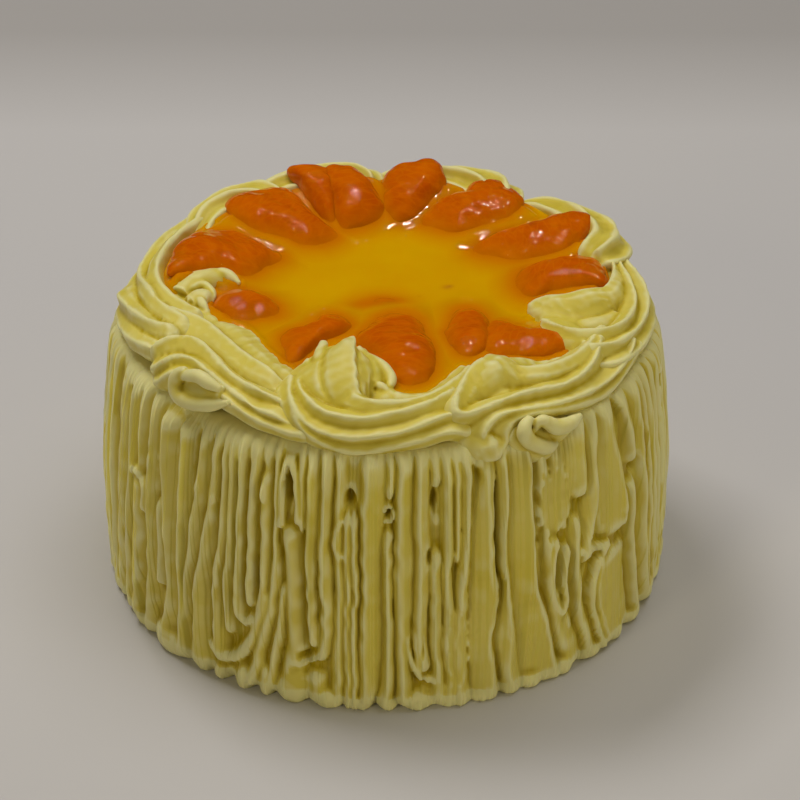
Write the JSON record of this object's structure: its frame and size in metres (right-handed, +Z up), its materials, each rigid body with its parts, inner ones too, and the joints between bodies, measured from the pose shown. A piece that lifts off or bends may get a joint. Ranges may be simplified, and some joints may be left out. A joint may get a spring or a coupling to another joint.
{
  "type": "mango cake",
  "caption": "Round cream cake with a side of upright cream strands, a border of piped scrolls and fruit segments set round a pool of glossy glaze.",
  "frame": {"origin": "middle of the cake's flat underside, where it rests", "axes": "+Z up out of the cake's top; -Y towards the side that faces the camera in the picture; +X to the picture's right"},
  "size_m": [0.1923, 0.192, 0.1135],
  "materials": {
    "cream": "soft satin whipped cream",
    "glaze": "glossy clear fruit glaze",
    "mandarin": "wet fruit under clear glaze"
  },
  "bodies": {
    "root": {"cake_body": "cream", "border_scroll_01": "cream", "border_scroll_02": "cream", "border_scroll_03": "cream", "border_scroll_04": "cream", "border_scroll_05": "cream", "border_scroll_06": "cream", "border_scroll_07": "cream", "border_scroll_08": "cream", "border_scroll_09": "cream", "border_curl_1": "cream", "border_curl_2": "cream", "mango_glaze": "glaze", "mandarin_01": "mandarin", "mandarin_02": "mandarin", "mandarin_03": "mandarin", "mandarin_04": "mandarin", "mandarin_05": "mandarin", "mandarin_06": "mandarin", "mandarin_07": "mandarin", "mandarin_08": "mandarin", "mandarin_09": "mandarin", "mandarin_10": "mandarin", "mandarin_11": "mandarin", "mandarin_12": "mandarin", "mandarin_13": "mandarin", "mandarin_sliver": "mandarin"}
  },
  "joints": []
}
